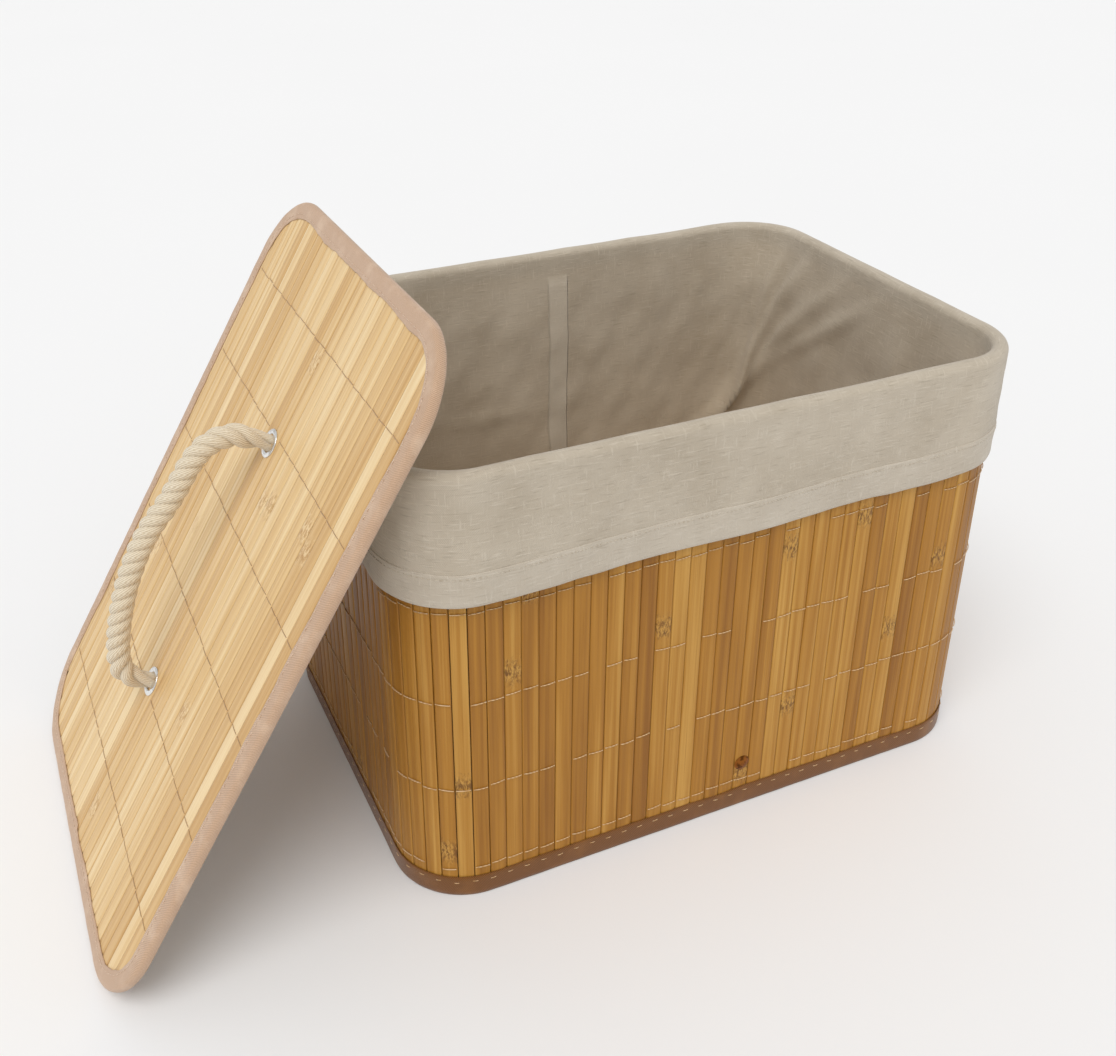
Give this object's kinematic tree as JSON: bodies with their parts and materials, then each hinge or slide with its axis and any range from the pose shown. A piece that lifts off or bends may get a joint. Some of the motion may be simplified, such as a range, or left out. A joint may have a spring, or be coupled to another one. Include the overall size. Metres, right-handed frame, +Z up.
{
  "type": "laundry hamper with lid",
  "caption": "Rectangular slatted bamboo laundry hamper with a folded-over fabric liner and a loose rope-handled lid leaning on its rim.",
  "frame": {"origin": "centre of the base board's underside, where the hamper stands on the floor", "axes": "+Z up, +X to the right along the front wall, -Y towards the front; the lid leans on the left (-X) rim at rest"},
  "size_m": [0.5825, 0.294, 0.3526],
  "materials": {
    "bamboo_wall": "satin honey bamboo",
    "bamboo_lid": "satin straw bamboo",
    "backing_cloth": "matt non-woven cloth",
    "weaving_thread": "matt thread",
    "wall_tape": "matt woven tape",
    "lid_tape": "matt woven tape with a soft nap",
    "steel_rod": "bright drawn wire",
    "fibreboard": "matt fibreboard",
    "copper_rivet": "aged copper",
    "linen_liner": "matt slubbed cotton and linen",
    "lid_lining_cloth": "matt non-woven cloth",
    "silver_eyelet": "bright nickel",
    "cotton_rope": "matt twisted cotton"
  },
  "bodies": {
    "hamper": {"front_wall_slats": "bamboo_wall", "back_wall_slats": "bamboo_wall", "left_wall_slats": "bamboo_wall", "right_wall_slats": "bamboo_wall", "corner_slats": "bamboo_wall", "front_wall_backing": "backing_cloth", "back_wall_backing": "backing_cloth", "left_wall_backing": "backing_cloth", "right_wall_backing": "backing_cloth", "corner_backings": "backing_cloth", "wall_threads": "weaving_thread", "top_binding": "wall_tape", "bottom_binding": "wall_tape", "rim_rod_front": "steel_rod", "rim_rod_back": "steel_rod", "rim_rod_right": "steel_rod", "base_board": "fibreboard", "base_strap": "backing_cloth", "strap_rivet": "copper_rivet", "rivet_washer": "copper_rivet", "liner_bag": "linen_liner", "liner_cuff": "linen_liner", "liner_hem": "linen_liner"},
    "rim_rod": {"rim_rod_left": "steel_rod"},
    "lid": {"lid_core_board": "fibreboard", "lid_slats": "bamboo_lid", "lid_threads": "weaving_thread", "lid_binding": "lid_tape", "lid_lining": "lid_lining_cloth", "lid_eyelets": "silver_eyelet", "lid_eyelet_washers": "silver_eyelet", "rope_ends": "cotton_rope"},
    "handle": {"rope_handle": "cotton_rope"}
  },
  "joints": [
    {"name": "lid_tip", "type": "hinge", "parent": "hamper", "child": "rim_rod", "pos_m": [-0.19811, 0, 0.2799], "axis": [0, 1, 0], "range_deg": [0, 58.84]},
    {"name": "lid_slide", "type": "slide", "parent": "rim_rod", "child": "lid", "axis": [0.5174, 0, 0.8557], "range_m": [0, 0.32427]},
    {"name": "handle_swing", "type": "hinge", "parent": "lid", "child": "handle", "pos_m": [-0.27973, 0, 0.18182], "axis": [0.5174, 0, 0.8557], "range_deg": [-70, 70]}
  ],
  "couplings": [
    {"joint": "lid_slide", "follows": "lid_tip", "m_per_rad": 0.31576}
  ]
}
